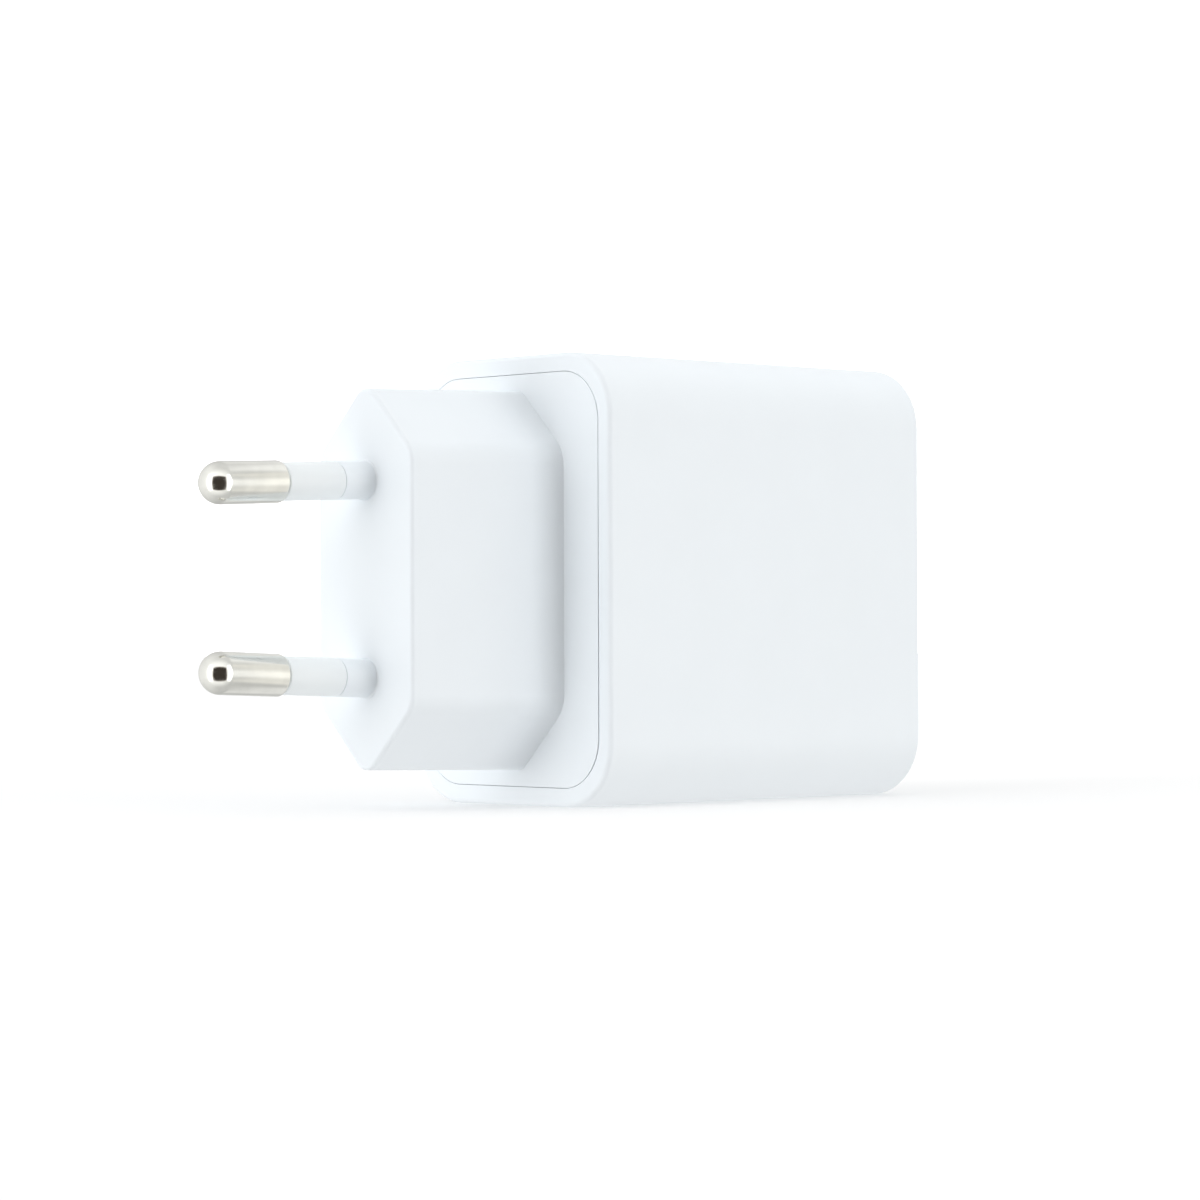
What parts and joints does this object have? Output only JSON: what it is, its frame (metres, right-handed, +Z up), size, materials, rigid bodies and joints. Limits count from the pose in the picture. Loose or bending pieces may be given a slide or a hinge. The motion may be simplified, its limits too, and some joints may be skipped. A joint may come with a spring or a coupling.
{
  "type": "usb wall charger",
  "caption": "Rounded-box wall charger with a flat two-pin plug neck on one end, an inset plug cover and one USB-A port on the other end.",
  "frame": {"origin": "centre of the charger's box in X and Y, at the level of the face it stands on", "axes": "+X across the housing's width, +Y from the plug pins to the USB port, +Z up along the housing's height and the row of pins"},
  "size_m": [0.0282, 0.0806, 0.0435],
  "materials": {
    "shell_plastic": "satin",
    "sleeve_plastic": "satin",
    "inner_plastic": "satin",
    "plated_pin": "satin",
    "contact_brass": "satin",
    "board": "satin",
    "solder": "gloss",
    "tinned_wire": "satin",
    "resistor_body": "matte",
    "ferrite": "matte",
    "copper_wire": "gloss",
    "chip_body": "matte",
    "chip_ceramic": "satin",
    "can_aluminium": "satin",
    "can_sleeve": "gloss",
    "seal_rubber": "matte",
    "bobbin_plastic": "satin",
    "tape": "satin",
    "capacitor_coating": "gloss",
    "port_steel": "satin",
    "port_plastic": "satin",
    "sheet_film": "satin",
    "pad_silicone": "matte"
  },
  "bodies": {
    "charger": {"housing": "shell_plastic", "plug_cover": "shell_plastic", "pin_live": "plated_pin", "pin_neutral": "plated_pin", "pin_sleeve_live": "sleeve_plastic", "pin_sleeve_neutral": "sleeve_plastic", "pin_retainer": "inner_plastic", "contact_strip_live": "contact_brass", "contact_strip_neutral": "contact_brass", "main_board": "board", "solder_joints": "solder", "fusible_resistor": "resistor_body", "fusible_resistor_leads": "tinned_wire", "inductor_core": "ferrite", "inductor_winding": "copper_wire", "inductor_leads": "tinned_wire", "bridge_rectifier": "chip_body", "bulk_capacitor_can_a": "can_aluminium", "bulk_capacitor_can_b": "can_aluminium", "bulk_capacitor_sleeve_a": "can_sleeve", "bulk_capacitor_sleeve_b": "can_sleeve", "bulk_capacitor_seals": "seal_rubber", "bulk_capacitor_leads": "tinned_wire", "transformer_core_front": "ferrite", "transformer_core_rear": "ferrite", "transformer_bobbin": "bobbin_plastic", "transformer_windings": "copper_wire", "transformer_tape": "tape", "transformer_pins": "tinned_wire", "safety_capacitor": "capacitor_coating", "safety_capacitor_leads": "tinned_wire", "optocoupler": "chip_body", "controller_chip": "chip_body", "rectifier_chip": "chip_body", "chip_legs": "tinned_wire", "surface_mount_parts": "chip_ceramic", "output_capacitor_a": "can_aluminium", "output_capacitor_b": "can_aluminium", "output_capacitor_seals": "seal_rubber", "output_capacitor_leads": "tinned_wire", "usb_shell": "port_steel", "usb_insulator": "port_plastic", "usb_contact_legs": "contact_brass", "insulation_sheet": "sheet_film", "thermal_pad": "pad_silicone"},
    "contact_springs": {"usb_contact_springs": "contact_brass"}
  },
  "joints": [
    {"name": "contact_spring_flex", "type": "hinge", "parent": "charger", "child": "contact_springs", "pos_m": [0.00056, 0.0285, 0.02175], "axis": [0, 0, -1], "range_deg": [0, 3], "stiffness_Nm_per_rad": 0.2}
  ]
}
